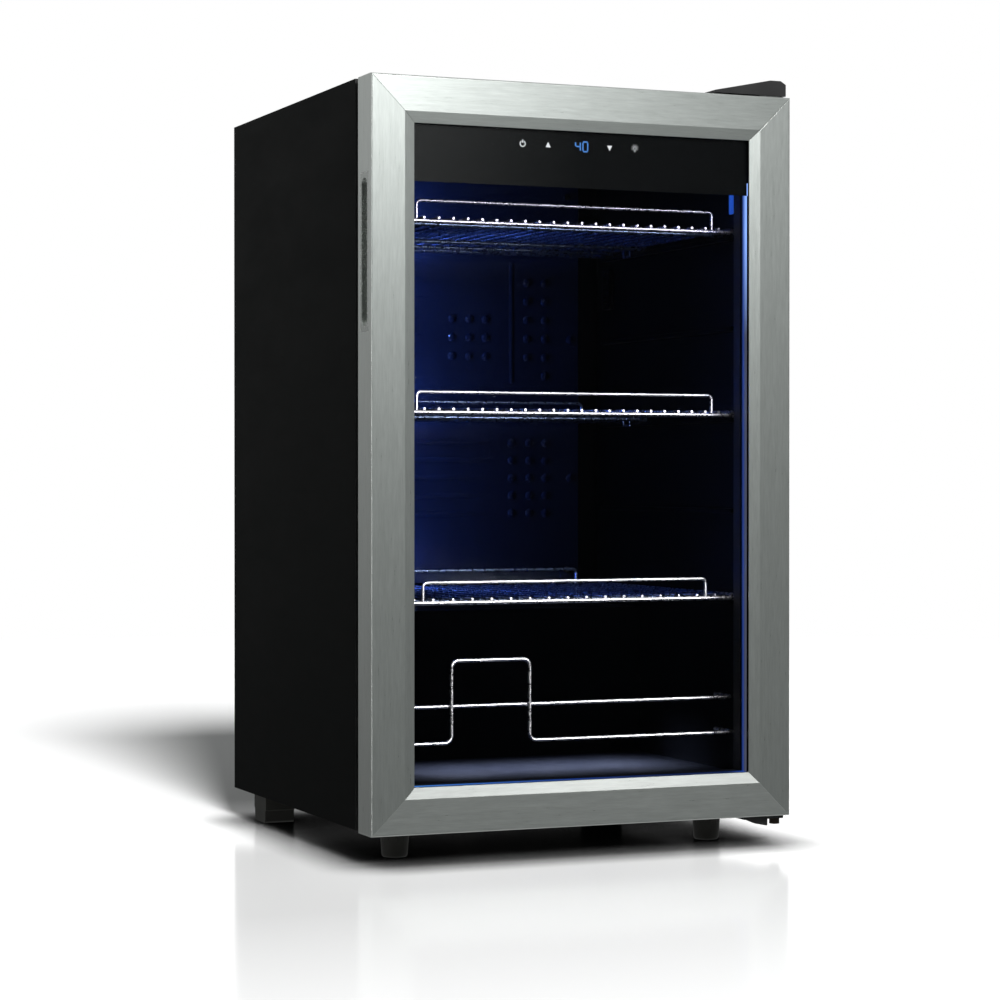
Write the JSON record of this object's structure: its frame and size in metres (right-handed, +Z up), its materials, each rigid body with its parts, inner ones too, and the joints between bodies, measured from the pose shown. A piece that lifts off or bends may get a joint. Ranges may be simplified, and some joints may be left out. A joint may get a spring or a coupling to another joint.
{
  "type": "undercounter refrigerator",
  "caption": "Free-standing undercounter beverage refrigerator with a framed glass door hung on the right, touch controls, wire shelves and levelling feet.",
  "frame": {"origin": "on the floor, at the centre of the footprint", "axes": "+Z up, -Y out of the front (the glass door), +X towards the hinge side on the right"},
  "size_m": [0.5, 0.516, 0.859],
  "materials": {
    "black_sheet": "satin",
    "black_enamel": "satin",
    "galvanised": "satin",
    "zinc": "satin",
    "pin_bronze": "satin",
    "foam": "matte",
    "liner": "satin",
    "evaporator": "satin",
    "white_plastic": "satin",
    "light_blue": "gloss",
    "rubber": "matte",
    "black_plastic": "satin",
    "cord": "matte",
    "copper": "satin",
    "stainless": "satin",
    "glass": "gloss",
    "spacer": "satin",
    "circuit_board": "satin",
    "magnet": "matte",
    "wire": "satin"
  },
  "bodies": {
    "cabinet": {"cabinet_wrap": "black_sheet", "rear_panel": "black_sheet", "base_pan": "black_sheet", "bay_panel": "galvanised", "foam_insulation": "foam", "inner_liner": "liner", "evaporator_plate": "evaporator", "evaporator_spacers": "white_plastic", "sensor_housing": "liner", "light_housing": "liner", "light_board": "white_plastic", "light_lenses": "light_blue", "drain_tube": "white_plastic", "compressor": "black_enamel", "compressor_grommets": "rubber", "compressor_bolts": "zinc", "relay_cover": "black_plastic", "condenser_tube": "black_enamel", "condenser_wires": "black_enamel", "condenser_brackets": "galvanised", "filter_drier": "copper", "discharge_line": "copper", "suction_line": "copper", "capillary_tube": "copper", "evaporation_pan": "black_plastic", "power_box": "black_plastic", "power_cord": "cord", "power_plug": "black_plastic", "plug_blades": "zinc", "top_hinge_plate": "zinc", "top_hinge_pin": "zinc", "hinge_screws": "zinc", "top_hinge_cover": "black_plastic", "bottom_hinge_bracket": "black_sheet", "bottom_hinge_pin": "pin_bronze", "rear_feet": "black_plastic", "foot_nuts": "zinc", "panel_screws": "zinc", "can_guard": "wire"},
    "door": {"stile_left": "stainless", "stile_right": "stainless", "rail_top": "stainless", "rail_bottom": "stainless", "inner_frame": "black_plastic", "outer_glass": "glass", "inner_glass": "glass", "glass_spacer": "spacer", "control_housing": "black_plastic", "control_board": "circuit_board", "display_digits": "light_blue", "touch_pads": "copper", "door_gasket": "rubber", "gasket_magnets": "magnet", "handle_cup": "stainless", "hinge_bushings": "white_plastic"},
    "top_shelf": {"shelf_top": "wire"},
    "middle_shelf": {"shelf_middle": "wire"},
    "bottom_shelf": {"shelf_bottom": "wire"},
    "left_foot": {"front_foot_left": "black_plastic"},
    "right_foot": {"front_foot_right": "black_plastic"}
  },
  "joints": [
    {"name": "door_hinge", "type": "hinge", "parent": "cabinet", "child": "door", "pos_m": [0.241, -0.238, 0], "axis": [0, 0, 1], "range_deg": [0, 120]},
    {"name": "top_shelf_slide", "type": "slide", "parent": "cabinet", "child": "top_shelf", "axis": [0, -1, 0], "range_m": [0, 0.009]},
    {"name": "middle_shelf_slide", "type": "slide", "parent": "cabinet", "child": "middle_shelf", "axis": [0, -1, 0], "range_m": [0, 0.009]},
    {"name": "bottom_shelf_slide", "type": "slide", "parent": "cabinet", "child": "bottom_shelf", "axis": [0, -1, 0], "range_m": [0, 0.009]},
    {"name": "left_foot_turn", "type": "hinge", "parent": "cabinet", "child": "left_foot", "pos_m": [-0.1905, -0.168, 0], "axis": [0, 0, -1], "continuous": true},
    {"name": "right_foot_turn", "type": "hinge", "parent": "cabinet", "child": "right_foot", "pos_m": [0.1905, -0.168, 0], "axis": [0, 0, -1], "continuous": true}
  ]
}
